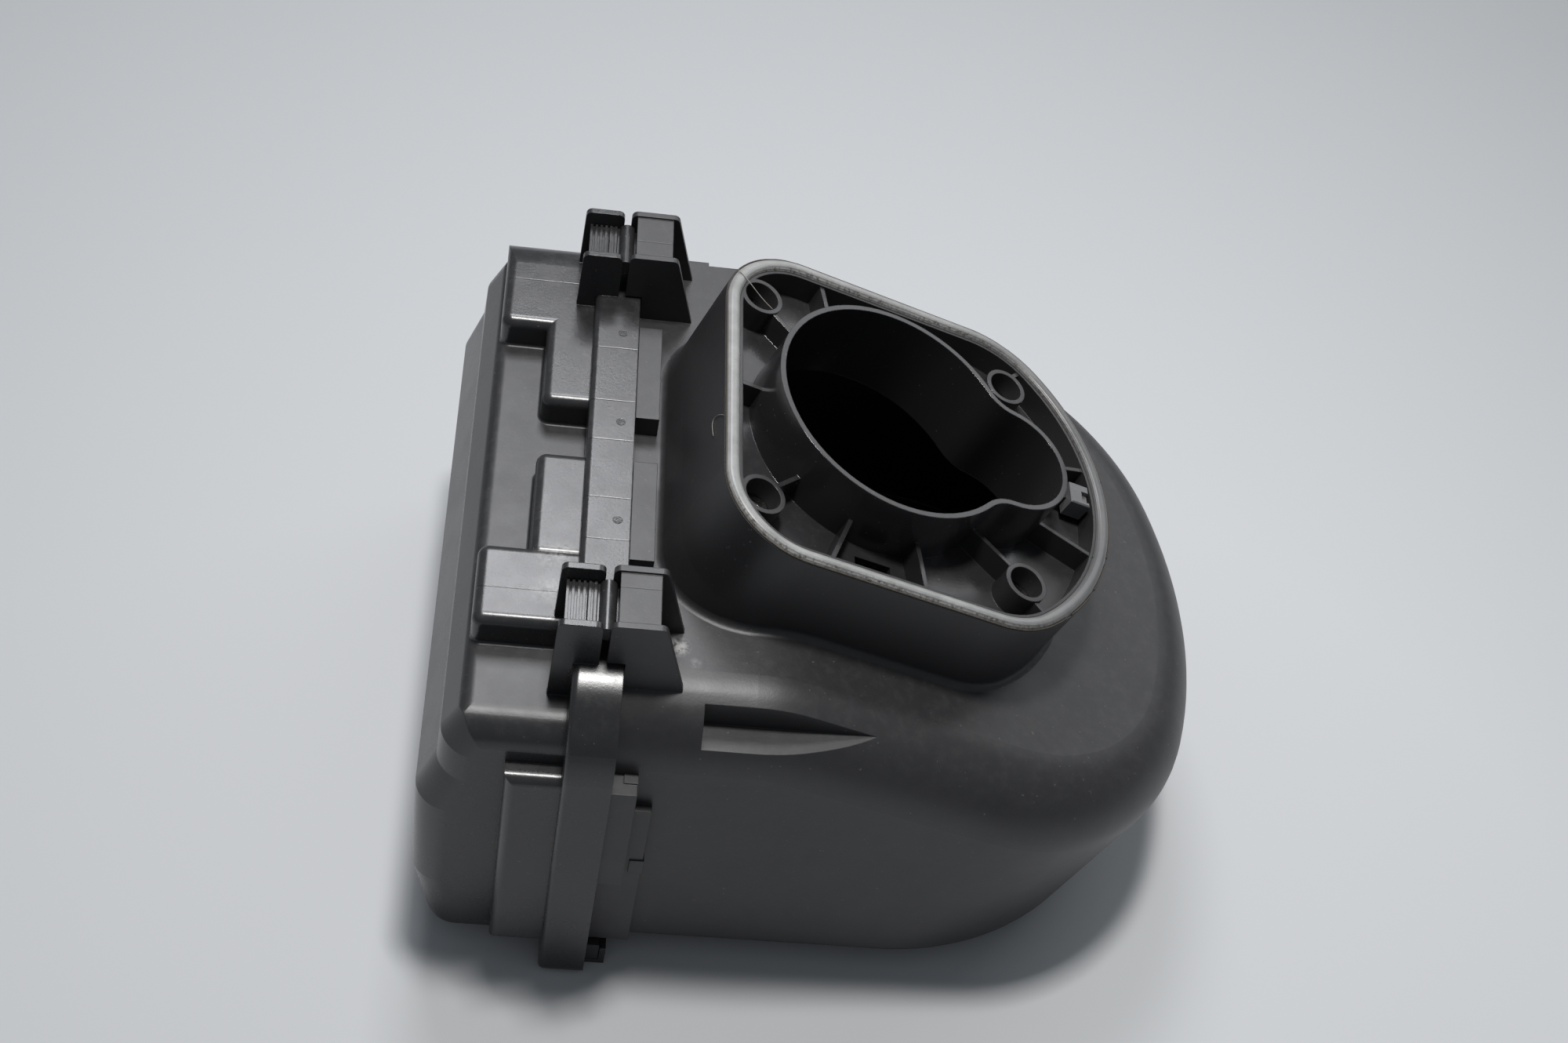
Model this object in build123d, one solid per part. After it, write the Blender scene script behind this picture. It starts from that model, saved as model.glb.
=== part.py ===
from build123d import *
import os
from math import atan2, cos, degrees, radians, sin, sqrt, tan

# Engine air filter housing: a D ended main housing with a tilted port neck, a filter cover that clips to it,
# two latch levers, the port gasket, a rim clip, bolt inserts and the filter element between the mouldings.
# Working frame: X = 0 is the parting face (cover on -X, housing on +X), Y = 0 the middle, and Z = 0 lies just
# above the band's foot.
# When the pieces are written they move together, so that the origin is the middle of the footprint.

# ---------------------------------------------------------------- driving dimensions (mm)
wall = 2.5                # wall of both mouldings
clear = 0.3               # gap between pieces that lie beside each other

# wrap-over band of the cover, round the parting face
band_length = 274.0       # along Y
band_height = 163.0       # top of the band
band_low = -3.5           # foot of the band
band_width = 18.0         # along X
band_radius = 33.0        # upper corners
band_foot_radius = 5.0    # lower corners
band_round = 2.4          # its edge toward the cover
band_skin = 3.0           # thickness of its skirt
band_overlap = 9.0        # how far the skirt reaches over the housing's flange
flange_thick = 2.5        # plates of the flanges
flange_lip = 2.2          # outer lip of the housing's flange
flange_back = 0.8         # flange's face stands inside the band's edge

# main housing tub
tub_inset = 12.0          # front and back wall inside the band
roof_drop = 11.0          # flat roof below the band's top
floor_rise = 9.0          # level of the tub's floor
roof_break = 61.0         # X where the roof starts to fall
roof_tilt = 19.0          # degrees that the roof, the neck and the end wall lean
end_reach = 213.5         # X of the end wall at floor level
end_corner = 97.0         # plan radius of its two sides
end_nose = 182.0          # plan radius of its middle
roof_radius = 27.0        # rounding from roof to walls
break_radius = 70.0       # soft change from flat to falling roof
floor_radius = 4.0        # rounding from floor to walls

# port neck: its mouth plane is parallel to the falling roof
neck_height = 38.0        # mouth plane above the falling roof, square to it
port_x = 97.6             # X of the port's centre on the mouth plane
mouth_half = 77.5         # half of the mouth's outline along Y
mouth_left = 71.5         # centre to the straight left side
mouth_right = 99.0        # centre to the end of the round right side
mouth_corner = 34.0       # left corners
mouth_turns = (38.0, 46.0)   # right corners, front and rear
mouth_end_radius = 89.0   # large arc at the right side
rim_width = 7.5           # rim that carries the gasket groove
rim_thick = 5.0
mouth_depth = 11.0        # recessed plate below the mouth plane
neck_foot_radius = 3.0    # fillet where the neck meets the roof

# duct collar: one large and one small circle, blended
collar_rise = 15.0        # rim above the mouth plane
collar_tail = 9.0         # reach below the recessed plate
collar_wall = 2.2
big_radius = 51.0
big_u = -5.0
small_radius = 25.5
small_u = 44.0
small_v = -4.0
waist_radius = 14.0       # blend between the two circles

# screw bosses of the port
bolt_u = 111.5            # spacing across
bolt_v = 102.5            # spacing along Y
boss_bore = 7.0           # radius
boss_wall = 1.9
boss_depth = 17.0         # bore below the mouth plane
insert_bore = 3.2         # radius of the sleeve's hole
insert_length = 8.0
insert_play = 0.05

# ribs on the recessed plate
rib = 1.8
rib_drop = 0.8            # tops below the mouth plane

# gasket
gasket_radius = 2.9
gasket_inset = 3.4        # its centre line inside the mouth's outline
gasket_proud = 1.9        # stands above the rim
gasket_play = 0.05

# latches
latch_inset = 43.7        # each latch inside the band's end; heights count from the band's top
latch_width = 28.0        # over the cheeks
latch_rise = 22.0
cheek = 2.6
cheek_round = 2.6         # corners of the cheeks' tops
lever_x = -13.2           # trunnion axis
lever_rise = 11.5
trunnion = 1.8            # radius
trunnion_play = 0.08
trunnion_length = 1.5
hub = 3.3                 # lever's radius round the trunnions
thumb_left = -22.6
thumb_right = -10.7
thumb_rise = 14.2
thumb_thick = 2.6
thumb_ribs = 6
rib_height = 1.1
hump_right = -4.4
hump_rise = 16.8
nose_end = 7.4
nose_rise = 10.4          # its underside
nose_thick = 2.5
tooth_depth = 3.8
tooth_long = 2.2
catch_gap = 0.5           # play between the lever's tooth and the catch
catch_thick = 2.2
catch_rise = 9.2
keeper_left = -6.2
keeper_right = 13.0
keeper_foot = 22.0
plate_left = -3.9
plate_right = 10.8
plate_drop = 0.8
keeper_plate = 3.0
keeper_play = 1.2         # cheeks stand over the band from here up
guard_left = -24.7
guard_right = -9.0
guard_foot = -26.0

# filter cover
cover_drop = 20.0         # floor of the relief, and the steps of the end wall, below the band's top
block_drop = 6.5          # raised blocks and pads
cover_base = 10.0
cover_edge = -55.0        # end wall's top edge, then its steps downward: X and drop
end_steps = ((-62.5, 35.0), (-63.5, 51.0), (-70.5, 71.0))
toe_rise = 30.0           # the end wall's foot leans in from here, above cover_base
toe_lean = 6.0
toe_low = 2.0
cover_radius = 12.0       # upper and end edges at the front and back
edge_radius = 6.0         # edge along the relief's end
step_radius = 3.2
rear_radius = 24.0        # upper edge of the rear block
block_radius = 4.0        # upper and upright edges of the blocks and pads
block_foot = 1.2          # hollow rounding at their feet
rear_block = 71.0         # rear block, from the band's end
front_block = (50.5, 87.0)   # front block's two faces, from the band's end
pad_left = -36.5
pad_one = (24.3, 77.0)    # Y of the two middle pads
pad_two = (-54.0, -2.0)
side_pad_left = -38.5
side_pad_out = 8.0        # stands proud of the side wall
side_pad_low = 13.0
side_pad_drop = 38.0
inlet_length = 96.0       # raw air inlet in the end wall
inlet_height = 44.0
inlet_depth = 10.0
inlet_radius = 12.0

# housing's pads beside the band
top_pads = ((14.5, 64.5), (-57.0, -8.5))
top_pad_width = 9.5
top_pad_drop = 1.5        # below the band's top
side_pads = ((9.5, 9.0, 61.0, 41.0), (16.5, 3.5, 12.0, 59.0))   # width, proud, foot, top below the band's top
marks = ((4.5, 9.8, 40.5, 10.5), (11.5, 17.0, 92.0, 8.5))       # small raised squares: X range, drop, height
mark_proud = 4.0
rear_ledges = ((29.0, 8.0), (46.0, 10.0))      # squared shoulder behind: right end, and inside the back wall

# notch in the housing's front upper edge
notch_start = 30.5
notch_end = 140.0
notch_depth = 14.5        # from the side wall
notch_drop = 15.0         # floor below the flat roof

# opening in the recessed plate, as u, v, length and width on the mouth plane
plate_slot = (-5.0, -60.0, 15.0, 8.0)

# hooks under the band
hook_inset = 15.0         # outer hooks inside the band's ends
hook_width = 18.0
hook_reach = 8.2          # from the parting face
hook_low = -3.2
hook_thick = 2.5
hook_lip = 2.4
hook_top = 8.0

# feet under the tub's far end
foot_x = 165.0
foot_y = 68.0
foot_radius = 9.0

# rim clip, pushed over a small rib of the recessed plate
clip_v = 4.5
clip_rib_drop = 3.0       # rib's top below the mouth plane
clip_rib_start = 66.0
clip_left = 81.5
clip_right = 90.2
clip_width = 10.5
clip_proud = 0.6
clip_low = 8.0
clip_play = 0.1
clip_notch = 3.6

# filter element
pack_inset = 11.0         # pack's ends inside the tub's walls
pack_lift = 13.0          # pack's foot above the tub's floor
pack_drop = 25.0          # pack's top below the band's top
pack_frame = 2.0
pack_face = -11.0         # X of the pack's face toward the housing
pleat_count = 40
pleat_depth = 36.0
paper = 0.9

# ---------------------------------------------------------------- shared values and frames
tilt = radians(roof_tilt)
reach = 400.0
tub_half = band_length / 2 - tub_inset
tub_start = -band_overlap
roof_z = band_height - roof_drop
slope_u = Vector(cos(tilt), 0, -sin(tilt))
slope_n = Vector(sin(tilt), 0, cos(tilt))
roof_foot = Vector(roof_break, 0, roof_z)
port_slide = (port_x - roof_break - neck_height * sin(tilt)) / cos(tilt)
port_centre = roof_foot + slope_u * port_slide + slope_n * neck_height
mouth_plane = Plane(origin=port_centre, x_dir=slope_u, z_dir=slope_n)
cheek_inner = latch_width / 2 - cheek
lever_half = cheek_inner - clear
latch_y = band_length / 2 - latch_inset
latch_top = band_height + latch_rise
lever_z = band_height + lever_rise
thumb_top = band_height + thumb_rise
nose_low = band_height + nose_rise
hump_radius = (hump_right - thumb_right) / 2
hump_z = band_height + hump_rise - hump_radius
cover_top = band_height - cover_drop
end_x = end_steps[-1][0]
toe_top = cover_base + toe_rise
hook_y = (hook_inset - band_length / 2, 0, band_length / 2 - hook_inset)
pack_half = tub_half - pack_inset
pack_low = floor_rise + pack_lift
pack_top = band_height - pack_drop


def slab(x0, x1, y0, y1, z0, z1):
    """Block between two corners."""
    block = Box(x1 - x0, y1 - y0, z1 - z0)
    return block.moved(Location(((x0 + x1) / 2, (y0 + y1) / 2, (z0 + z1) / 2)))


def xz_prism(points, y0, y1):
    """Prism between y0 and y1 over a closed outline of (x, z) points."""
    with BuildPart() as prism:
        with BuildSketch(Plane.XZ.offset(-y1)):
            with BuildLine():
                Polyline(*points, close=True)
            make_face()
        extrude(amount=y1 - y0)
    return prism.part


def xz_rod(x, z, radius, y0, y1):
    """Round rod along Y."""
    rod = Cylinder(radius, y1 - y0, rotation=(90, 0, 0))
    return rod.moved(Location((x, (y0 + y1) / 2, z)))


def edges_where(solid, test):
    """Edges whose middle point passes the test."""
    return [edge for edge in solid.edges() if test(edge.position_at(0.5))]


def band_slab(x0, x1, inset):
    """Everything inside the band's outline, from x0 to x1: round at the top, nearly square at the foot."""
    half = band_length / 2 - inset
    top = band_height - inset
    low = band_low + inset
    upper = band_radius - inset
    lower = max(band_foot_radius - inset, 1.0)
    with BuildPart() as block:
        with BuildSketch(Plane.YZ.offset(x0)):
            with BuildLine():
                Line((half, low + lower), (half, top - upper))
                CenterArc((half - upper, top - upper), upper, 0, 90)
                Line((half - upper, top), (upper - half, top))
                CenterArc((upper - half, top - upper), upper, 90, 90)
                Line((-half, top - upper), (-half, low + lower))
                CenterArc((lower - half, low + lower), lower, 180, 90)
                Line((lower - half, low), (half - lower, low))
                CenterArc((half - lower, low + lower), lower, 270, 90)
            make_face()
        extrude(amount=x1 - x0)
    return block.part


def on_mouth(sketch, depth, length):
    """Solid over a sketch drawn on the mouth plane, from depth to depth + length below it."""
    return extrude(sketch.moved(Location(slope_n * -depth)), amount=length, dir=-slope_n)


def mouth_outline(inset):
    """Round ended outline of the port's mouth."""
    half = mouth_half - inset
    left = -mouth_left + inset
    corner = mouth_corner - inset
    large = mouth_end_radius - inset
    end_u = mouth_right - mouth_end_radius
    leans = []
    with BuildSketch(mouth_plane) as outline:
        with BuildLine():
            for side, turn in zip((-1, 1), mouth_turns):
                turn = turn - inset
                turn_v = half - turn
                turn_u = end_u + sqrt((large - turn) ** 2 - turn_v ** 2)
                lean = degrees(atan2(turn_v, turn_u - end_u))
                CenterArc((turn_u, side * turn_v), turn, side * lean, side * (90 - lean))
                Line((left + corner, side * half), (turn_u, side * half))
                CenterArc((left + corner, side * (half - corner)), corner, side * 90, side * 90)
                leans.append(lean)
            CenterArc((end_u, 0), large, -leans[0], sum(leans))
            Line((left, corner - half), (left, half - corner))
        make_face()
    return outline.sketch


def collar_outline(inset):
    """Egg of the duct: two circles with blended waists."""
    with BuildSketch(mouth_plane) as outline:
        with Locations((big_u, 0)):
            Circle(big_radius - inset)
        with Locations((small_u, small_v)):
            Circle(small_radius - inset)
        fillet(outline.vertices(), waist_radius + inset)
    return outline.sketch


def discs(places, radius):
    """Circles on the mouth plane."""
    with BuildSketch(mouth_plane) as outline:
        with Locations(*places):
            Circle(radius)
    return outline.sketch


# ---------------------------------------------------------------- main housing
def end_outline(plane, half, inset):
    """Round ended plan of the tub, square to the leaning end wall."""
    corner = end_corner - inset
    nose = end_nose - inset
    nose_x = (end_reach - end_nose) * cos(tilt)
    corner_y = half - corner
    corner_x = nose_x + sqrt((nose - corner) ** 2 - corner_y ** 2)
    lean = degrees(atan2(corner_y, corner_x - nose_x))
    with BuildSketch(plane) as outline:
        with BuildLine():
            CenterArc((corner_x, corner_y), corner, lean, 90 - lean)
            CenterArc((nose_x, 0), nose, -lean, 2 * lean)
            CenterArc((corner_x, -corner_y), corner, -90, 90 - lean)
            Polyline((corner_x, half), (-reach, half), (-reach, -half), (corner_x, -half))
        make_face()
    return outline.sketch


def tub_form(inset):
    """Round ended tub with its falling roof, set in everywhere by the given wall."""
    half = tub_half - inset
    low = floor_rise + inset
    top = roof_z - inset
    turn = roof_break - inset * tan(tilt / 2)
    base = Plane(origin=(0, 0, floor_rise), x_dir=slope_u, z_dir=slope_n)
    form = extrude(end_outline(base, half, inset), amount=reach, both=True)
    far_top = top - (reach - turn) * tan(tilt)
    profile = [(tub_start, low), (tub_start, top), (turn, top), (reach, far_top), (reach, low - reach),
               (tub_start, low - reach)]
    body = form & xz_prism(profile, -reach, reach) & slab(tub_start, reach, -reach, reach, low, top)
    crease = edges_where(body, lambda p: abs(p.X - turn) < 1 and abs(p.Y) < 1 and p.Z > top - 1)
    body = fillet(crease, break_radius)

    def on_rim(p):
        on_top = p.Z > top - 2 or abs((p - roof_foot).dot(slope_n) + inset) < 1
        return on_top and p.X > tub_start + 1 and (abs(p.Y) > half - 1 or p.X > roof_break + half)

    body = fillet(edges_where(body, on_rim), roof_radius - inset)
    foot = edges_where(body, lambda p: p.Z < low + 0.01 and p.X > tub_start + 1)
    return fillet(foot, floor_radius - inset)


def on_neck_foot(p):
    """Points on the line where the neck leaves the roof."""
    height = (p - roof_foot).dot(slope_n)
    local = mouth_plane.to_local_coords(p)
    inside = -mouth_left - 1 < local.X < mouth_right + 1 and abs(local.Y) < mouth_half + 1
    return inside and local.Z < -mouth_depth / 2 and height < roof_radius


def housing_flange(tub):
    """Rim that slides into the cover's band, grooved toward the filter seal."""
    ring = band_slab(tub_start, -flange_back, band_skin + clear)
    groove = band_slab(tub_start - 1, -flange_back - flange_thick, band_skin + clear + flange_lip)
    return ring - (groove - tub)


def housing_pads():
    """Raised pads and small marks beside the band."""
    left = -flange_back - flange_thick
    pads = []
    for y0, y1 in top_pads:
        pads.append(slab(clear, top_pad_width, y0, y1, roof_z - wall, band_height - top_pad_drop))
        pads.append(slab(left, clear + 1, y0, y1, roof_z - wall, band_height - band_skin - clear))
    for end, inside in rear_ledges:
        outer = tub_half - inside
        pads.append(slab(left, end, outer - roof_radius, outer, roof_z - roof_radius / 2, roof_z))
    for width, proud, low, drop in side_pads:
        for side in (-1, 1):
            y0, y1 = sorted((side * (tub_half - wall), side * (tub_half + proud)))
            pads.append(slab(left, width, y0, y1, low, band_height - drop))
    for x0, x1, drop, height in marks:
        high = band_height - drop
        pads.append(slab(x0, x1, -tub_half - mark_proud, -tub_half + wall, high - height, high))
    return pads


def pad_cores():
    """Hollows that keep the pads at wall thickness: the upper open into the groove, the others inward."""
    left = -flange_back - flange_thick
    cores = []
    for y0, y1 in top_pads:
        high = band_height - band_skin - clear - flange_lip * 0.7
        cores.append(slab(left - 1, top_pad_width - wall, y0 + wall, y1 - wall, roof_z + rib_drop, high))
    for width, proud, low, drop in side_pads:
        for side in (-1, 1):
            y0, y1 = sorted((side * (tub_half - wall - 1), side * (tub_half + proud - wall)))
            cores.append(slab(clear, width - wall, y0, y1, low + wall, band_height - drop - wall))
    return cores


def keeper(y):
    """Bracket over one latch: two cheeks, a top plate and the catch for the lever's tooth."""
    base = roof_z - roof_radius / 2
    step = band_height + keeper_play
    shape = [(keeper_left, step), (keeper_left, latch_top), (keeper_right, latch_top), (keeper_foot, roof_z),
             (keeper_foot, base), (clear, base), (clear, step)]
    parts = []
    for side in (-1, 1):
        y0, y1 = sorted((y + side * cheek_inner, y + side * (cheek_inner + cheek)))
        plate = xz_prism(shape, y0, y1)
        corners = edges_where(plate, lambda p: p.Z > latch_top - 0.1 and abs(p.Y - y0 - cheek / 2) < 0.1)
        parts.append(fillet(corners, cheek_round))
    high = latch_top - plate_drop
    parts.append(slab(plate_left, plate_right, y - cheek_inner, y + cheek_inner, high - keeper_plate, high))
    right = nose_end - tooth_long - catch_gap
    catch_top = band_height + catch_rise
    parts.append(slab(right - catch_thick, right, y - cheek_inner, y + cheek_inner, base, catch_top))
    return parts


def mouth_ribs():
    """Ribs between the rim, the bosses and the collar, as (u, v) ends on the mouth plane."""
    rim_v = mouth_half - rim_width / 2
    rim_u = mouth_left - rim_width / 2
    half_u = bolt_u / 2
    half_v = bolt_v / 2
    lines = [((4 - half_u, 5 - half_v), (-37, -33)), ((4 - half_u, half_v - 5), (-37, 33)),
             ((half_u - 5, 6 - half_v), (34, -32)), ((half_u - 5, half_v - 6), (34, 30)),
             ((-29, rim_v), (-24, 46)), ((8, rim_v), (4, 50)), ((-29, -rim_v), (-19, -48)),
             ((12, -rim_v), (8.5, -48)), ((-rim_u, 2), (-54, 2)),
             ((62, -16), (90, -26)), ((66, 14), (91, 20)),
             ((half_u, -half_v - 4), (half_u + 8, -half_v - 12)),
             ((half_u, half_v + 4), (half_u + 8, half_v + 12))]
    ribs = []
    for start, end in lines:
        ribs.append(mouth_rib(start, end, rib_drop))
    return ribs + [mouth_rib((clip_rib_start, clip_v), (mouth_right - rim_width / 2, clip_v), clip_rib_drop)]


def mouth_rib(start, end, drop):
    along = Vector(*end) - Vector(*start)
    middle = (Vector(*start) + Vector(*end)) / 2
    with BuildSketch(mouth_plane) as foot:
        with Locations(Location((middle.X, middle.Y), degrees(atan2(along.Y, along.X)))):
            Rectangle(along.length, rib)
    return on_mouth(foot.sketch, drop, mouth_depth - drop + 1)


def bolt_places():
    half_u = bolt_u / 2
    half_v = bolt_v / 2
    return [(-half_u, -half_v), (half_u, -half_v), (half_u, half_v), (-half_u, half_v)]


def gasket_cord(radius):
    """Round cord seated in the rim."""
    path = mouth_outline(gasket_inset).face().outer_wire()
    path = path.moved(Location(slope_n * (gasket_proud - gasket_radius)))
    section = Plane(origin=path.position_at(0), z_dir=path.tangent_at(0))
    return sweep(section * Circle(radius), path=path)


def tub_foot(y, radius, low):
    """Round foot or its hollow, under the tub's floor."""
    high = floor_rise + wall
    return Cylinder(radius, high - low).moved(Location((foot_x, y, (high + low) / 2)))


def main_housing():
    tub = tub_form(0)
    neck_reach = neck_height + roof_radius
    body = tub + on_mouth(mouth_outline(0), 0, neck_reach)
    body = fillet(edges_where(body, on_neck_foot), neck_foot_radius)
    body = body - on_mouth(mouth_outline(wall), mouth_depth + wall, neck_reach)
    ring = mouth_outline(wall) - mouth_outline(rim_width - wall)
    body = body - on_mouth(ring, rim_thick, neck_reach)
    body = body - on_mouth(mouth_outline(rim_width), -1, mouth_depth + 1)

    notch_wall = notch_depth - tub_half
    notch_floor = roof_z - notch_drop
    body = body - slab(notch_start, notch_end, -reach, notch_wall, notch_floor, reach)
    body = body + housing_flange(tub)
    for piece in housing_pads() + keeper(-latch_y) + keeper(latch_y):
        body = body + piece
    hollow = tub_form(wall)
    left = notch_start - wall
    hollow = hollow - slab(left, notch_end, -reach, notch_wall + wall, notch_floor - wall, reach)
    body = body - hollow
    for core in pad_cores():
        body = body - core

    collar_length = collar_rise + mouth_depth + wall + collar_tail
    body = body + on_mouth(collar_outline(0), -collar_rise, collar_length)
    body = body + on_mouth(discs(bolt_places(), boss_bore + boss_wall), 0, boss_depth + wall)
    for piece in mouth_ribs():
        body = body + piece
    left = -flange_back - flange_thick
    for y in hook_y:
        low, high = y - hook_width / 2, y + hook_width / 2
        right = hook_reach - hook_lip - clear
        body = body + slab(left, right, low, high, hook_low + hook_thick + 2 * clear, floor_rise + wall / 2)
    for y in (-foot_y, foot_y):
        body = body + tub_foot(y, foot_radius, band_low)
        body = body - tub_foot(y, foot_radius - wall, band_low - 2 * wall)
    body = body - on_mouth(collar_outline(collar_wall), -collar_rise - 1, collar_length + 2)
    body = body - on_mouth(discs(bolt_places(), boss_bore), -1, boss_depth + 1)
    u, v, length, width = plate_slot
    with BuildSketch(mouth_plane) as hole:
        with Locations((u, v)):
            Rectangle(length, width)
    body = body - on_mouth(hole.sketch, mouth_depth - 1, wall + 3)
    return body - gasket_cord(gasket_radius + gasket_play)


# ---------------------------------------------------------------- filter cover
def cover_profile(inset, rounded):
    """Side view of the cover's stepped end."""
    face = flange_thick - band_width + inset
    points = [(face, cover_base), (face, cover_top), (cover_edge, cover_top)]
    for x, drop in end_steps:
        points.append((x, band_height - drop))
    points += [(end_x, toe_top), (end_x + toe_lean, cover_base + toe_low), (end_x + 2 * toe_lean, cover_base)]
    with BuildSketch(Plane.XZ.offset(tub_half - inset)) as outline:
        with BuildLine():
            Polyline(*points, close=True)
        make_face()
        if rounded:
            corners = outline.vertices().sort_by(Axis.Z)
            fillet([v for v in corners if v.X < cover_edge - 1 and v.Z > cover_base + 1], step_radius)
            fillet([v for v in outline.vertices() if abs(v.X - cover_edge) < 0.1], edge_radius)
    if inset:
        return offset(outline.sketch, amount=-inset, kind=Kind.INTERSECTION)
    return outline.sketch


def cover_form(inset):
    """Stepped end of the filter cover, set in everywhere by the given wall."""
    half = tub_half - inset
    body = extrude(cover_profile(inset, False), amount=2 * half, dir=(0, 1, 0))
    low = cover_base + inset + 1
    right = flange_thick - band_width - 1
    rims = edges_where(body, lambda p: abs(abs(p.Y) - half) < 0.01 and p.X < right and p.Z > low)
    body = fillet(rims, cover_radius - inset)
    return body & extrude(cover_profile(inset, True), amount=2 * half, dir=(0, 1, 0))


def raised_block(x0, x1, y0, y1, z0, z1, inset):
    """Block of the cover with rounded upper and upright edges at its free end, or its hollow."""
    block = slab(x0 + inset, x1, y0 + inset, y1 - inset, z0, z1 - inset)
    free = edges_where(block, lambda p: p.X < x1 - 0.1 and p.Z > z0 + 0.1)
    return fillet(free, block_radius - inset)


def cover_blocks(inset):
    """Raised blocks and pads on the cover, or their hollows."""
    far = -band_width if inset else flange_thick - band_width
    top = band_height - block_drop
    deep = cover_top - wall - block_radius
    end = band_length / 2
    near, away = front_block
    blocks = [raised_block(cover_edge, far, near - end, away - end, deep, top, inset)]
    for y0, y1 in (pad_one, pad_two):
        blocks.append(raised_block(pad_left, far, y0, y1, deep, top, inset))
    rear = raised_block(cover_edge, far, end - rear_block, end, cover_top - rear_radius, top, inset)
    bend = slab(cover_edge - 1, far + 1, 0, tub_half - inset, 0, top - inset)
    corner = edges_where(bend, lambda p: min(p.Y - tub_half, p.Z - top) > -inset - 0.1)
    bend = fillet(corner, rear_radius - inset)
    blocks.append(rear & bend)
    outer = tub_half + side_pad_out - inset
    pad_top = band_height - side_pad_drop - inset
    for side in (-1, 1):
        y0, y1 = sorted((side * (tub_half - wall - 1), side * outer))
        pad = slab(side_pad_left + inset, far, y0, y1, side_pad_low + inset, pad_top)
        rim = edges_where(pad, lambda p: p.X < far - 0.1 and abs(p.Y) > outer - 0.1)
        blocks.append(fillet(rim, block_radius - inset))
    return blocks


def inlet(inset, x0, x1):
    """Rounded outline of the raw air inlet, from x0 to x1."""
    with BuildPart() as spigot:
        with BuildSketch(Plane.YZ.offset(x0)):
            with Locations((0, (toe_top + band_height - end_steps[-1][1]) / 2)):
                RectangleRounded(inlet_length - 2 * inset, inlet_height - 2 * inset, inlet_radius - inset)
        extrude(amount=x1 - x0)
    return spigot.part


def guard(y):
    """Two cheeks that carry one lever."""
    top = latch_top - rib_drop
    base = cover_top - wall / 2
    shape = [(guard_foot, base), (guard_left, top), (guard_right, top), (guard_right, band_height - 1),
             (-band_width, band_height - 1), (-band_width, base)]
    cheeks = []
    for side in (-1, 1):
        y0, y1 = sorted((y + side * cheek_inner, y + side * (cheek_inner + cheek)))
        plate = xz_prism(shape, y0, y1)
        corners = edges_where(plate, lambda p: p.Z > top - 0.1 and abs(p.Y - y0 - cheek / 2) < 0.1)
        cheeks.append(fillet(corners, cheek_round))
    return cheeks


def filter_cover():
    band = band_slab(-band_width, 0, 0)
    body = cover_form(0) + fillet(edges_where(band, lambda p: p.X < 0.01 - band_width), band_round)
    for block in cover_blocks(0):
        body = body + block
    left = cover_edge + edge_radius
    rim = tub_half - cover_radius - 1
    flat = edges_where(body, lambda p: abs(p.Z - cover_top) < 0.01 and abs(p.Y) < rim)
    body = fillet([edge for edge in flat if left < edge.center().X < -band_width], block_foot)
    for y in (-latch_y, latch_y):
        for cheek_plate in guard(y):
            body = body + cheek_plate
    body = body - band_slab(flange_thick - band_width, 1, band_skin)
    body = body - cover_form(wall)
    for hollow in cover_blocks(wall):
        body = body - hollow
    body = body + inlet(0, end_x, end_x + inlet_depth) - inlet(wall, end_x - 1, end_x + inlet_depth + 1)
    for y in hook_y:
        low, high = y - hook_width / 2, y + hook_width / 2
        body = body + slab(-1, hook_reach, low, high, hook_low, hook_low + hook_thick)
        body = body + slab(hook_reach - hook_lip, hook_reach, low, high, hook_low, hook_top)
    bore = trunnion + trunnion_play
    bore_half = lever_half + trunnion_length + clear
    for y in (-latch_y, latch_y):
        body = body - xz_rod(lever_x, lever_z, bore, y - bore_half, y + bore_half)
    return body


# ---------------------------------------------------------------- latch levers
def latch_lever(y):
    """Sprung lever: ribbed thumb pad, rounded back, nose with a tooth and two trunnions."""
    hump_x = thumb_right + hump_radius
    pitch = (thumb_right - thumb_left) / thumb_ribs
    bars = [(thumb_left, hump_x, thumb_top - thumb_thick, thumb_top),
            (hump_x, nose_end, nose_low, nose_low + nose_thick),
            (nose_end - tooth_long, nose_end, nose_low - tooth_depth, nose_low + nose_thick)]
    for k in range(thumb_ribs):
        x = thumb_left + k * pitch
        bars.append((x, x + pitch / 2, thumb_top - 1, thumb_top + rib_height))
    with BuildPart() as lever:
        with BuildSketch(Plane.XZ.offset(-y - lever_half)):
            with Locations((lever_x, lever_z)):
                Circle(hub)
            with Locations((hump_x, hump_z)):
                Circle(hump_radius)
            for x0, x1, z0, z1 in bars:
                with Locations(((x0 + x1) / 2, (z0 + z1) / 2)):
                    Rectangle(x1 - x0, z1 - z0)
        extrude(amount=2 * lever_half)
    pin_half = lever_half + trunnion_length
    return lever.part + xz_rod(lever_x, lever_z, trunnion, y - pin_half, y + pin_half)


# ---------------------------------------------------------------- small pieces of the port
def neck_gasket():
    return gasket_cord(gasket_radius)


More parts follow.
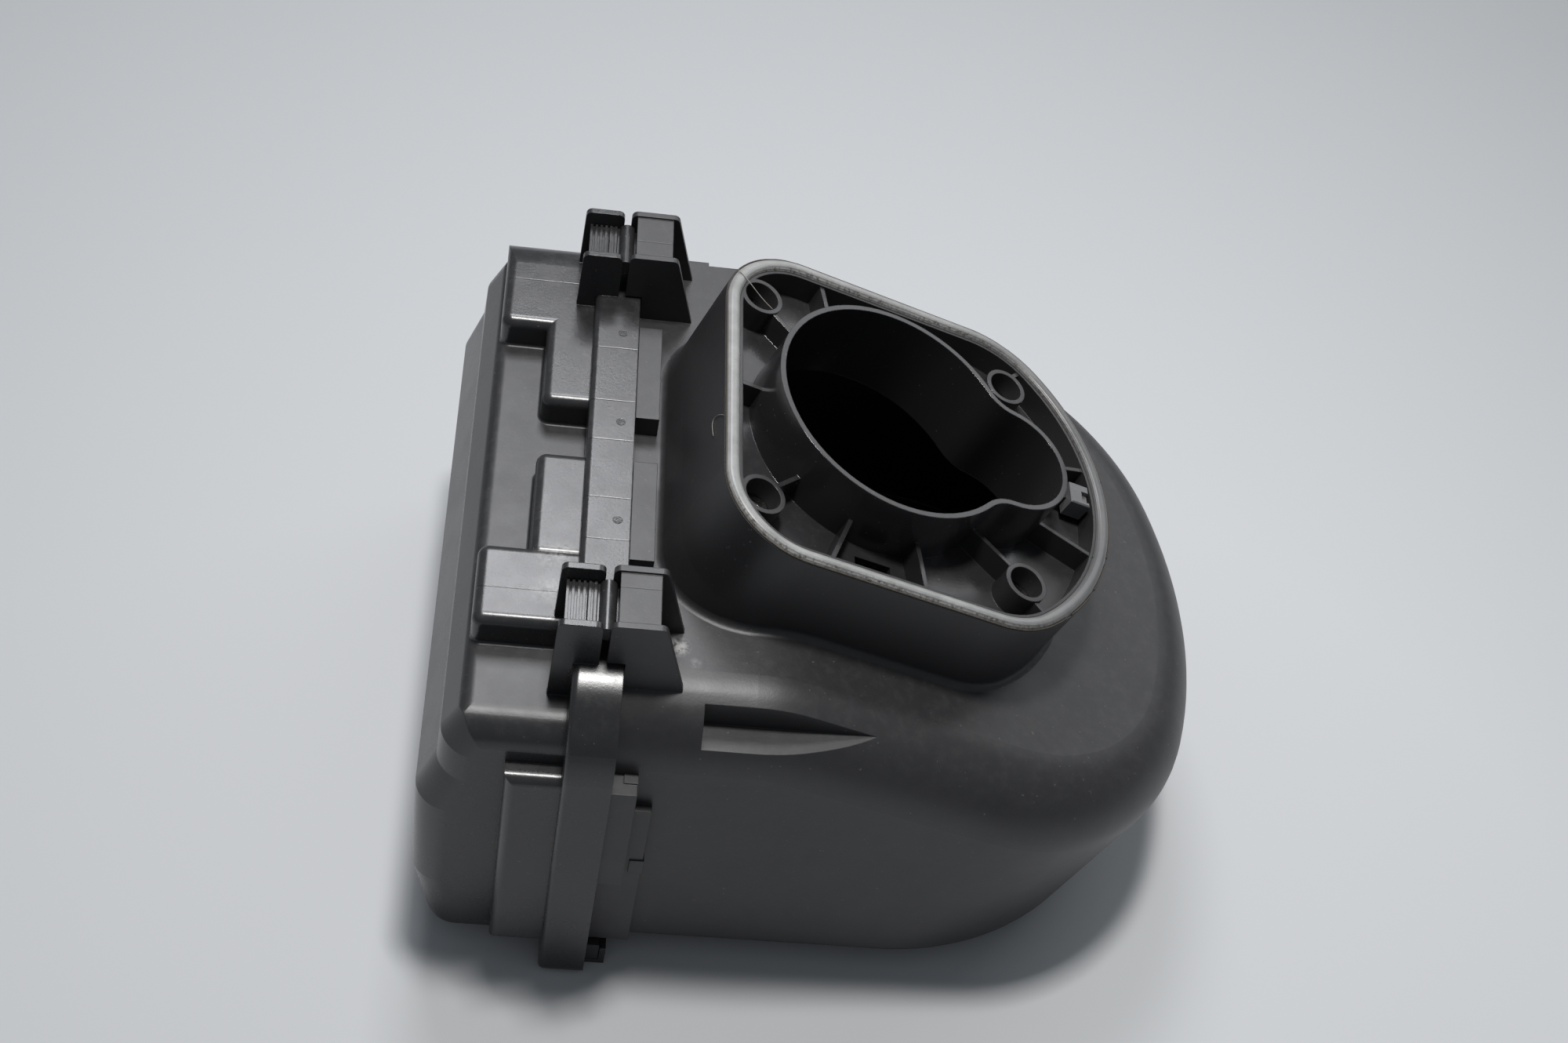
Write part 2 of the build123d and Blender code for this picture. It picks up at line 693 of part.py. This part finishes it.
def rim_clip():
    """Clip over the small rib, notched toward the rim."""
    with BuildSketch(mouth_plane) as foot:
        with Locations(((clip_left + clip_right) / 2, clip_v)):
            Rectangle(clip_right - clip_left, clip_width)
    body = on_mouth(foot.sketch, -clip_proud, clip_low + clip_proud)
    body = chamfer(edges_where(body, lambda p: mouth_plane.to_local_coords(p).Z > clip_proud - 0.01), 0.5)
    with BuildSketch(mouth_plane) as slot:
        with Locations(((clip_left + clip_right) / 2, clip_v)):
            Rectangle(clip_right - clip_left + 2, rib + 2 * clip_play)
    with BuildSketch(mouth_plane) as notch:
        with Locations((clip_right, clip_v - 1)):
            Rectangle(2 * clip_notch, clip_width / 2)
    body = body - on_mouth(slot.sketch, clip_rib_drop - clip_play, clip_low)
    return body - on_mouth(notch.sketch, -clip_proud - 1, clip_rib_drop)


def boss_inserts():
    """Sleeves pressed into the four port bosses."""
    sleeve = discs(bolt_places(), boss_bore - insert_play) - discs(bolt_places(), insert_bore)
    return on_mouth(sleeve, boss_depth - insert_length, insert_length)


# ---------------------------------------------------------------- filter element
def filter_seal():
    ring = band_slab(flange_thick + clear - band_width, tub_start - clear, band_skin + flange_lip / 2)
    half = pack_half + clear
    return ring - slab(-band_width, 0, -half, half, pack_low - clear, pack_top + clear)


def filter_pleats():
    """Zigzag of paper inside a thin frame."""
    inner = pack_half - pack_frame
    pitch = 2 * inner / pleat_count
    near = []
    for k in range(pleat_count):
        y = -inner + k * pitch
        near += [(pack_face - 1, y), (pack_face + 1 - pleat_depth, y + pitch / 2)]
    near.append((pack_face - 1, inner))
    far = [(x - paper, y) for x, y in reversed(near)]
    with BuildPart() as paper_block:
        with BuildSketch(Plane.XY.offset(pack_low + pack_frame / 2)):
            with BuildLine():
                Polyline(*near, *far, close=True)
            make_face()
        extrude(amount=pack_top - pack_low - pack_frame)
    frame = slab(pack_face - pleat_depth / 2, pack_face, -pack_half, pack_half, pack_low, pack_top)
    low, high = pack_low + pack_frame, pack_top - pack_frame
    window = slab(pack_face - pleat_depth, pack_face + 1, -inner, inner, low, high)
    return paper_block.part + (frame - window)


if __name__ == "__main__":
    nodes = {
        "main_housing": main_housing(),
        "filter_cover": filter_cover(),
        "latch_lever_front": latch_lever(-latch_y),
        "latch_lever_rear": latch_lever(latch_y),
        "neck_gasket": neck_gasket(),
        "rim_clip": rim_clip(),
        "boss_inserts": boss_inserts(),
        "filter_seal": filter_seal(),
        "filter_pleats": filter_pleats(),
    }
    box = Compound(list(nodes.values())).bounding_box()
    to_origin = Location((-box.center().X, -box.center().Y, -box.min.Z))
    os.makedirs("parts", exist_ok=True)
    for name, solid in nodes.items():
        export_step(solid.moved(to_origin), f"parts/{name}.step")
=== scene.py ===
import bpy
import math
from mathutils import Matrix, Vector


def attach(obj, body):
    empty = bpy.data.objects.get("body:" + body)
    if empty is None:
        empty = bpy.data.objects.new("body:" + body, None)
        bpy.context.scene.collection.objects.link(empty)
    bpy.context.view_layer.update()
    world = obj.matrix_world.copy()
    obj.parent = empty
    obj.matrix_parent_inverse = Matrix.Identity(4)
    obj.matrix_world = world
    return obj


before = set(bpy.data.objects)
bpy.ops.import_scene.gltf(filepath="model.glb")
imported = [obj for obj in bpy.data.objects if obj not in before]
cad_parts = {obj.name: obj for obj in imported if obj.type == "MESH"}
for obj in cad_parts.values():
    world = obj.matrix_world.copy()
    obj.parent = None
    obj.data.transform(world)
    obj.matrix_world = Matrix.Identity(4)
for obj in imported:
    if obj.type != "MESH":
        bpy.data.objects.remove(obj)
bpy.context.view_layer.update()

# lengths are in metres; what lies in the port is measured from the plane of its mouth
mouth = {"middle": Vector((0.011144, 0, 0.18309)),
         "across": Vector((0.94552, 0, -0.32557)),
         "up": Vector((0.32557, 0, 0.94552))}
maskBlur = 0.0002  # soft edge of a mask with straight sides
softEdge = 0.0004  # rounding that the shader gives to an edge
editor = {"column": 300, "row": 320}  # spacing of the nodes in the shader editor


# ways to build a shader; a mask is a value from 0 to 1
def node(tree, kind, **values):
    made = tree.nodes.new(kind)
    for key, value in values.items():
        if key in made.inputs:
            made.inputs[key].default_value = value
        else:
            setattr(made, key, value)
    return made


def link(tree, source, target):
    tree.links.new(source, target)


def material(name):
    made = bpy.data.materials.new(name)
    made.use_nodes = True
    tree = made.node_tree
    tree.nodes.clear()
    out = node(tree, "ShaderNodeOutputMaterial")
    shader = node(tree, "ShaderNodeBsdfPrincipled")
    link(tree, shader.outputs[0], out.inputs[0])
    coords = node(tree, "ShaderNodeTexCoord")
    return made, tree, shader, coords.outputs["Object"]


def arrange(tree):
    column = {made.name: 0 for made in tree.nodes}
    moved = True
    while moved:
        moved = False
        for wire in tree.links:
            needed = column[wire.to_node.name] + 1
            if column[wire.from_node.name] < needed:
                column[wire.from_node.name] = needed
                moved = True
    used = {}
    for made in tree.nodes:
        step = column[made.name]
        row = used.get(step, 0)
        made.location = (-editor["column"] * step, -editor["row"] * row)
        used[step] = row + 1


def noise(tree, coords, scale, detail, rough):
    made = node(tree, "ShaderNodeTexNoise", Scale=scale, Detail=detail, Roughness=rough)
    link(tree, coords, made.inputs["Vector"])
    return made.outputs["Fac"]


def ramp(tree, source, low, high, start=0.0, end=1.0):
    limits = {"From Min": low, "From Max": high, "To Min": start, "To Max": end}
    made = node(tree, "ShaderNodeMapRange", **limits)
    link(tree, source, made.inputs["Value"])
    return made.outputs["Result"]


def combine(tree, kind, first, second=0):
    made = node(tree, "ShaderNodeMath", operation=kind)
    for k, value in enumerate((first, second)):
        if isinstance(value, (int, float)):
            made.inputs[k].default_value = value
        else:
            link(tree, value, made.inputs[k])
    return made.outputs[0]


def times(tree, total, *others):
    for other in others:
        total = combine(tree, "MULTIPLY", total, other)
    return total


def brightest(tree, total, *others):
    for other in others:
        total = combine(tree, "MAXIMUM", total, other)
    return total


def mixColor(tree, mask, first, second):
    made = node(tree, "ShaderNodeMix", data_type="RGBA")
    for index, value in ((0, mask), (6, first), (7, second)):  # 6 and 7 take colours
        if hasattr(value, "node"):
            link(tree, value, made.inputs[index])
        else:
            made.inputs[index].default_value = value
    return made.outputs[2]


def bump(tree, shader, layers, edge=softEdge):
    last = node(tree, "ShaderNodeBevel", Radius=edge, samples=4).outputs[0]
    for height, strength, depth in layers:
        made = node(tree, "ShaderNodeBump", Strength=strength, Distance=depth)
        link(tree, height, made.inputs["Height"])
        link(tree, last, made.inputs["Normal"])
        last = made.outputs[0]
    link(tree, last, shader.inputs["Normal"])


def measure(tree, kind, source, other):
    made = node(tree, "ShaderNodeVectorMath", operation=kind)
    link(tree, source, made.inputs[0])
    made.inputs[1].default_value = other
    return made.outputs["Value"]


def facing(tree, direction, low, high):
    geometry = node(tree, "ShaderNodeNewGeometry")
    return ramp(tree, measure(tree, "DOT_PRODUCT", geometry.outputs["Normal"], direction), low, high)


def fromMouth(tree, coords, direction, low, high):
    start = mouth["middle"].dot(mouth[direction])
    reach = measure(tree, "DOT_PRODUCT", coords, mouth[direction])
    return ramp(tree, reach, start + low, start + high)


def spot(tree, coords, place, inner, outer):
    return ramp(tree, measure(tree, "DISTANCE", coords, place), outer, inner)


def axisOf(tree, coords, axis):
    split = node(tree, "ShaderNodeSeparateXYZ")
    link(tree, coords, split.inputs[0])
    return split.outputs[axis]


def between(tree, coords, axis, low, high):
    value = axisOf(tree, coords, axis)
    return times(tree, ramp(tree, value, low - maskBlur, low), ramp(tree, value, high + maskBlur, high))


def dress(nodeName, made):
    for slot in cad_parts[nodeName].material_slots:
        slot.material = made


# in every dictionary below a noise is (scale, detail, roughness) and a relief is (strength, depth)
dust = {"color": (0.36, 0.35, 0.33, 1), "level": (0.5, 0.98), "patches": (0.48, 0.72), "rough": 0.3,
        "speckNoise": (620, 1, 0.5), "speckRange": (0.755, 0.78)}


def dustMask(tree, coords, look, smears):
    level = facing(tree, (0, 0, 1), *dust["level"])
    lying = times(tree, level, ramp(tree, smears, *dust["patches"]), look["dust"])
    specks = ramp(tree, noise(tree, coords, *dust["speckNoise"]), *dust["speckRange"], 0.0, look["specks"])
    return brightest(tree, lying, specks)


scuff = {"color": (0.55, 0.54, 0.52, 1), "noise": (520, 4, 0.65), "range": (0.40, 0.56)}


def scuffed(tree, coords, look, color):
    scraped = ramp(tree, noise(tree, coords, *scuff["noise"]), *scuff["range"])
    for place, inner, outer, strength in look["scuffs"]:
        smudge = times(tree, spot(tree, coords, place, inner, outer), scraped, strength)
        color = mixColor(tree, smudge, color, scuff["color"])
    return color


# mould lines and the marks that the gates have left: a bump for their relief, and painted shade that darkens
# their grooves and pits
cut = {"color": (0.006, 0.006, 0.007, 1), "relief": (0.5, 0.0002), "lineEdge": (0.0003, 0.00014),
       "lineDepth": 0.7, "gateRadius": (0.0017, 0.0019), "pitNoise": (1500, 3, 0.55),
       "pitRange": (0.42, 0.58), "pitDepth": (0.3, 0.95)}


def cutMask(tree, coords, look):
    found = []
    for group in look["lines"]:
        area = times(tree, between(tree, coords, "X", *group["x"]), between(tree, coords, "Z", *group["z"]))
        for place in group["y"]:
            away = combine(tree, "ABSOLUTE", combine(tree, "SUBTRACT", axisOf(tree, coords, "Y"), place))
            found.append(times(tree, area, ramp(tree, away, *cut["lineEdge"]), cut["lineDepth"]))
    for place in look["gates"]:
        pits = ramp(tree, noise(tree, coords, *cut["pitNoise"]), *cut["pitRange"], *cut["pitDepth"])
        found.append(times(tree, spot(tree, coords, place, *cut["gateRadius"]), pits))
    return brightest(tree, *found)


moulded = {"waves": (11, 2, 0.55), "patches": (48, 6, 0.6), "smears": (210, 5, 0.7),
           "grain": (900, 3, 0.6), "fine": (2340, 2, 0.6), "mottle": (0.36, 0.64),
           "sheenRange": (0.3, 0.75), "sheen": (-0.03, 0.04), "waveRelief": (0.2, 0.0008),
           "grainDepth": 0.00016, "fineDepth": 0.00007}


def mouldedPlastic(name, look):
    made, tree, shader, coords = material(name)
    waves = noise(tree, coords, *moulded["waves"])
    smears = noise(tree, coords, *moulded["smears"])
    mottle = times(tree, combine(tree, "ADD", waves, smears), 0.5)
    color = mixColor(tree, ramp(tree, mottle, *moulded["mottle"]), look["dark"], look["light"])
    glossier, duller = [look["rough"] + change for change in moulded["sheen"]]
    rough = ramp(tree, noise(tree, coords, *moulded["patches"]), *moulded["sheenRange"], glossier, duller)
    if "port" in look:
        port = look["port"]
        inside = times(tree, fromMouth(tree, coords, "up", *port["floor"]),
                       fromMouth(tree, coords, "across", *port["wall"]))
        color = mixColor(tree, inside, color, port["color"])
        polished = times(tree, inside, spot(tree, coords, mouth["middle"], *port["reach"]), port["polish"])
        rough = combine(tree, "SUBTRACT", rough, polished)
    if "matte" in look:
        matte = between(tree, coords, "Z", *look["matte"]["z"])
        rough = combine(tree, "ADD", rough, times(tree, matte, look["matte"]["rough"]))
    dusty = dustMask(tree, coords, look, smears)
    color = mixColor(tree, dusty, color, dust["color"])
    if look["scuffs"]:
        color = scuffed(tree, coords, look, color)
    layers = [(waves, *moulded["waveRelief"]),
              (noise(tree, coords, *moulded["grain"]), look["bump"], moulded["grainDepth"]),
              (noise(tree, coords, *moulded["fine"]), look["bump"], moulded["fineDepth"])]
    if look["lines"] or look["gates"]:
        cuts = cutMask(tree, coords, look)
        # painted shade: the mould lines and gate pits are painted near black
        color = mixColor(tree, cuts, color, cut["color"])
        layers.append((combine(tree, "SUBTRACT", 1.0, cuts), *cut["relief"]))
    link(tree, color, shader.inputs["Base Color"])
    link(tree, combine(tree, "ADD", rough, times(tree, dusty, dust["rough"])), shader.inputs["Roughness"])
    shader.inputs["Specular IOR Level"].default_value = look["gloss"]
    bump(tree, shader, layers, look["edge"])
    arrange(tree)
    return made


# a scuff is (place, inner radius, outer radius, strength); mould lines run along X at the y values
plastic = {"bump": 0.18, "dust": 0.05, "specks": 0.16, "gloss": 0.6, "edge": 0.0005,
           "lines": (), "gates": (), "scuffs": ()}
housing = dict(
    plastic, dark=(0.0228, 0.0224, 0.0238, 1), light=(0.0303, 0.0298, 0.0316, 1), rough=0.42, dust=0.03,
    port={"color": (0.025, 0.0242, 0.0256, 1), "floor": (-0.0369, -0.0359), "wall": (-0.0729, -0.0719),
          "reach": (0.066, 0.071), "polish": 0.24},
    lines=({"x": (-0.091, -0.073), "y": (-0.0886, 0.0906), "z": (0.186, 0.2)},),
    scuffs=(((-0.0662, -0.0882, 0.1555), 0.001, 0.005, 0.5),
            ((-0.0600, -0.0950, 0.1555), 0.001, 0.003, 0.15)))
dress("main_housing", mouldedPlastic("housing_plastic", housing))

cover = dict(
    plastic, dark=(0.022, 0.022, 0.0232, 1), light=(0.028, 0.028, 0.0295, 1), rough=0.27,
    matte={"z": (0.1458, 0.1475), "rough": 0.14},
    gates=((-0.0927, 0.0586, 0.1665), (-0.0919, 0.0101, 0.1665), (-0.0913, -0.0398, 0.1665)),
    lines=({"x": (-0.105, -0.086), "y": (0.0500, 0.0212, 0.0005, -0.0290, -0.0494), "z": (0.1655, 0.2)},
           {"x": (-0.145, -0.108), "y": (0.0913, -0.0710), "z": (0.1590, 0.2)}),
    scuffs=(((-0.1147, -0.0538, 0.160), 0.001, 0.008, 0.20),
            ((-0.1146, -0.0705, 0.160), 0.001, 0.008, 0.22),
            ((-0.1094, -0.0513, 0.160), 0.001, 0.006, 0.18)))
dress("filter_cover", mouldedPlastic("cover_plastic", cover))

lever = dict(plastic, dark=cover["dark"], light=cover["light"], rough=0.26, edge=0.0002, bump=0.12)
leverPlastic = mouldedPlastic("lever_plastic", lever)
dress("latch_lever_front", leverPlastic)
dress("latch_lever_rear", leverPlastic)

clip = dict(lever, dark=(0.10, 0.10, 0.103, 1), light=(0.13, 0.13, 0.133, 1), rough=0.40)
dress("rim_clip", mouldedPlastic("clip_plastic", clip))
print("stage: moulded plastics")


# rubber cord with drawn grooves, dirty at its foot on the front side, and darkened towards the round end by
# painted shade
gasket = {"smearNoise": (90, 6, 0.65), "dirtNoise": (700, 5, 0.7), "grooves": 9000,
          "fresh": ((0.24, 0.24, 0.237, 1), (0.34, 0.34, 0.337, 1)), "freshRange": (0.35, 0.7),
          "paintedShade": (0.055, 0.055, 0.056, 1), "paintedShadeRange": (0.0191, 0.0841), "paintedShadeMost": 0.75,
          "dirt": (0.035, 0.025, 0.017, 1), "footRange": (0.00192, 0.00156),
          "dirtySide": (-0.25, -0.97, 0), "sideRange": (0.12, 0.5),
          "streaks": (0.2, 1.0, 0.0, 0.7), "grime": (0.46, 0.62, 0.0, 0.85), "stains": (0.64, 0.76, 0.0, 0.5),
          "rough": (0.3, 0.7, 0.28, 0.42), "gloss": 0.62,
          "smearRelief": (0.35, 0.0002), "dirtRelief": (0.35, 0.00008), "grooveRelief": (0.25, 0.00008)}


def gasketRubber():
    made, tree, shader, coords = material("gasket_rubber")
    smears = noise(tree, coords, *gasket["smearNoise"])
    dirt = noise(tree, coords, *gasket["dirtNoise"])
    drawn = combine(tree, "SINE", measure(tree, "DOT_PRODUCT", coords, mouth["up"] * gasket["grooves"]))
    foot = times(tree, fromMouth(tree, coords, "up", *gasket["footRange"]),
                 facing(tree, gasket["dirtySide"], *gasket["sideRange"]))
    fresh = mixColor(tree, ramp(tree, smears, *gasket["freshRange"]), *gasket["fresh"])
    # painted shade: the cord's colour turns darker towards the round end
    paintedShade = times(tree, fromMouth(tree, coords, "across", *gasket["paintedShadeRange"]), gasket["paintedShadeMost"])
    soiled = brightest(tree, times(tree, ramp(tree, drawn, *gasket["streaks"]), foot),
                       times(tree, ramp(tree, dirt, *gasket["grime"]), foot),
                       ramp(tree, dirt, *gasket["stains"]))
    color = mixColor(tree, soiled, mixColor(tree, paintedShade, fresh, gasket["paintedShade"]), gasket["dirt"])
    link(tree, color, shader.inputs["Base Color"])
    link(tree, ramp(tree, smears, *gasket["rough"]), shader.inputs["Roughness"])
    shader.inputs["Specular IOR Level"].default_value = gasket["gloss"]
    bump(tree, shader, [(smears, *gasket["smearRelief"]), (dirt, *gasket["dirtRelief"]),
                        (drawn, *gasket["grooveRelief"])])
    arrange(tree)
    return made


def grainy(name, look):
    made, tree, shader, coords = material(name)
    grain = noise(tree, coords, *look["noise"])
    color = mixColor(tree, ramp(tree, grain, *look["contrast"]), look["dark"], look["light"])
    link(tree, color, shader.inputs["Base Color"])
    link(tree, ramp(tree, grain, *look["rough"]), shader.inputs["Roughness"])
    shader.inputs["Metallic"].default_value = look["metal"]
    bump(tree, shader, [(grain, *look["relief"])])
    arrange(tree)
    return made


foam = {"dark": (0.02, 0.02, 0.02, 1), "light": (0.05, 0.05, 0.05, 1), "cells": 1300,
        "rough": (0.0, 0.8, 0.7, 0.9), "relief": (0.6, 0.0002)}


def sealFoam():
    made, tree, shader, coords = material("seal_rubber")
    texture = node(tree, "ShaderNodeTexVoronoi", Scale=foam["cells"])
    link(tree, coords, texture.inputs["Vector"])
    cells = texture.outputs["Distance"]
    link(tree, mixColor(tree, cells, foam["dark"], foam["light"]), shader.inputs["Base Color"])
    link(tree, ramp(tree, cells, *foam["rough"]), shader.inputs["Roughness"])
    bump(tree, shader, [(cells, *foam["relief"])])
    arrange(tree)
    return made


insert = {"dark": (0.16, 0.155, 0.15, 1), "light": (0.30, 0.29, 0.28, 1), "noise": (1800, 3, 0.55),
          "contrast": (0.0, 1.0), "rough": (0.3, 0.7, 0.16, 0.30), "metal": 1.0, "relief": (0.25, 0.00005)}
paper = {"dark": (0.42, 0.36, 0.22, 1), "light": (0.60, 0.53, 0.36, 1), "noise": (2400, 6, 0.7),
         "contrast": (0.0, 1.0), "rough": (0.3, 0.7, 0.8, 0.95), "metal": 0.0, "relief": (0.5, 0.0001)}
dress("neck_gasket", gasketRubber())
dress("boss_inserts", grainy("insert_metal", insert))
dress("filter_pleats", grainy("filter_paper", paper))
dress("filter_seal", sealFoam())
print("stage: small parts")


def tube(name, places, radius, made, closed):
    line = bpy.data.curves.new(name, "CURVE")
    line.dimensions = "3D"
    line.bevel_depth = radius
    line.bevel_resolution = 2
    run = line.splines.new("POLY" if closed else "NURBS")
    run.points.add(len(places) - 1)
    for point, place in zip(run.points, places):
        point.co = (*place, 1)
    run.use_cyclic_u = closed
    run.use_endpoint_u = True
    drawn = bpy.data.objects.new(name + "_line", line)
    bpy.context.collection.objects.link(drawn)
    bpy.context.view_layer.update()
    mesh = bpy.data.meshes.new_from_object(drawn.evaluated_get(bpy.context.evaluated_depsgraph_get()))
    bpy.data.objects.remove(drawn)
    mesh.materials.clear()
    mesh.materials.append(made)
    for face in mesh.polygons:
        face.use_smooth = True
    piece = bpy.data.objects.new(name, mesh)
    bpy.context.collection.objects.link(piece)
    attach(piece, "case")


def outerLine(nodeName, out, level, sector):
    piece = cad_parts[nodeName]
    farthest = {}
    for vertex in piece.data.vertices:
        place = piece.matrix_world @ vertex.co - mouth["middle"]
        flat = Vector((place.dot(mouth["across"]), place.y))
        step = round(math.degrees(math.atan2(flat.y, flat.x)) / sector)
        if flat.length > farthest.get(step, Vector((0, 0))).length:
            farthest[step] = flat
    places = []
    for step in sorted(farthest):
        flat = farthest[step] * (1 + out / farthest[step].length)
        side = Vector((0, flat.y, 0))
        places.append(mouth["middle"] + mouth["across"] * flat.x + side + mouth["up"] * level)
    return places


def millimetres(*places):
    return [Vector(place) / 1000 for place in places]


# the line of grime along the gasket's foot, with one point for each sector of so many degrees
crust = {"noise": (1500, 5, 0.7), "contrast": (0.35, 0.65), "rough": (0.3, 0.7, 0.45, 0.75),
         "metal": 0.0, "relief": (0.6, 0.0001)}
grime = dict(crust, dark=(0.022, 0.017, 0.012, 1), light=(0.075, 0.060, 0.045, 1))
flash = {"out": 0.00005, "level": 0.0003, "sector": 2, "radius": 0.00032}
flashPlaces = outerLine("neck_gasket", flash["out"], flash["level"], flash["sector"])
tube("gasket_flash", flashPlaces, flash["radius"], grainy("gasket_grime", grime), True)

# a loose strand over the gasket's rear corner and a hair on the neck's outer wall
fibre = dict(crust, dark=(0.20, 0.19, 0.17, 1), light=(0.34, 0.33, 0.30, 1))
strand = {"radius": 0.0002,
          "places": millimetres((-51.6, 58.8, 206.8), (-49.1, 56.3, 206.2), (-45.7, 53.6, 203.8),
                                (-42.5, 51.9, 200.8), (-39.4, 50.6, 198.2), (-36.9, 49.9, 196.3))}
hair = {"radius": 0.00014,
        "places": millimetres((-56.7, -19.5, 206.6), (-57.6, -16.6, 204.0), (-58.7, -14.5, 201.0),
                              (-59.6, -13.9, 198.4), (-60.1, -15.4, 197.1), (-60.0, -18.7, 197.5),
                              (-59.7, -22.7, 198.5))}
strandFibre = grainy("strand_fibre", fibre)
tube("stray_strand", strand["places"], strand["radius"], strandFibre, False)
tube("curled_hair", hair["places"], hair["radius"], strandFibre, False)
print("stage: gasket flash and strand")


# painted light: the floor is painted lighter near the object and darker far from it, with faint stains
floor = {"side": 30, "middle": (0.10, -0.10, 0.0), "paintedFalloff": (0.25, 1.1),
         "near": (0.545, 0.557, 0.57, 1), "far": (0.28, 0.29, 0.301, 1), "stain": (0.5, 0.5, 0.5, 1),
         "stainNoise": (9, 4, 0.5), "stainRange": (0.3, 0.7, 0.0, 0.05), "rough": 0.62, "gloss": 0.25}


def addFloor():
    made, tree, shader, coords = material("studio_floor")
    away = ramp(tree, measure(tree, "DISTANCE", coords, floor["middle"]), *floor["paintedFalloff"])
    stains = ramp(tree, noise(tree, coords, *floor["stainNoise"]), *floor["stainRange"])
    base = mixColor(tree, away, floor["near"], floor["far"])
    link(tree, mixColor(tree, stains, base, floor["stain"]), shader.inputs["Base Color"])
    shader.inputs["Roughness"].default_value = floor["rough"]
    shader.inputs["Specular IOR Level"].default_value = floor["gloss"]
    arrange(tree)
    bpy.ops.mesh.primitive_plane_add(size=floor["side"], location=(0, 0, 0))
    plane = bpy.context.object
    plane.name = "floor"
    plane.data.materials.append(made)


# a small key over the object, a window behind it on the left and a bright wall behind it on the right
lamps = {"key": {"place": (-0.05, 0.10, 1.95), "aim": (0.0, 0.0, 0.1), "size": (0.24, 0.24),
                 "power": 25, "color": (1.0, 0.99, 0.975)},
         "window": {"place": (-0.20, 0.86, 1.45), "aim": (-0.12, -0.08, 0.16), "size": (0.5, 0.55),
                    "power": 10.3, "color": (0.955, 0.965, 1.0)},
         "wall": {"place": (1.2, 1.75, 1.35), "aim": (0.1, 0.0, 0.1), "size": (2.0, 1.2),
                  "power": 11, "color": (0.97, 0.985, 1.0)}}


def addLamp(name, look):
    light = bpy.data.lights.new(name, "AREA")
    light.shape = "RECTANGLE"
    light.size, light.size_y = look["size"]
    light.energy = look["power"]
    light.color = look["color"]
    lamp = bpy.data.objects.new(name, light)
    bpy.context.collection.objects.link(lamp)
    lamp.location = look["place"]
    aimed = Vector(look["aim"]) - Vector(look["place"])
    lamp.rotation_euler = aimed.to_track_quat("-Z", "Y").to_euler()


daylight = {"color": (0.80, 0.86, 0.93, 1), "strength": 0.20}


def addWorld():
    world = bpy.data.worlds.new("studio")
    bpy.context.scene.world = world
    world.use_nodes = True
    back = world.node_tree.nodes["Background"]
    back.inputs[0].default_value = daylight["color"]
    back.inputs[1].default_value = daylight["strength"]


# angles are in degrees, and the focal length is in pixels of a frame that is frameWidth pixels wide
camera = {"place": (-0.129519, -0.580239, 0.794253), "yaw": 10.44, "tilt": 48.46, "roll": 12.97,
          "focal": 2839, "frameWidth": 2000, "sensor": 36, "nearest": 0.01}


def addCamera():
    yaw, tilt, roll = [math.radians(camera[angle]) for angle in ("yaw", "tilt", "roll")]
    ahead = Vector((math.sin(yaw) * math.cos(tilt), math.cos(yaw) * math.cos(tilt), -math.sin(tilt)))
    side = Vector((math.cos(yaw), -math.sin(yaw), 0))
    top = side.cross(ahead)
    right = side * math.cos(roll) + top * math.sin(roll)
    up = top * math.cos(roll) - side * math.sin(roll)
    turn = Matrix((right, up, -ahead)).transposed().to_4x4()
    made = bpy.data.objects.new("camera", bpy.data.cameras.new("camera"))
    bpy.context.collection.objects.link(made)
    made.matrix_world = Matrix.Translation(camera["place"]) @ turn
    made.data.sensor_width = camera["sensor"]
    made.data.lens = camera["sensor"] * camera["focal"] / camera["frameWidth"]
    made.data.clip_start = camera["nearest"]
    bpy.context.scene.camera = made


addFloor()
for lampName, lampLook in lamps.items():
    addLamp(lampName, lampLook)
addWorld()
addCamera()
bpy.context.scene.view_settings.view_transform = "Standard"
print("stage: studio")
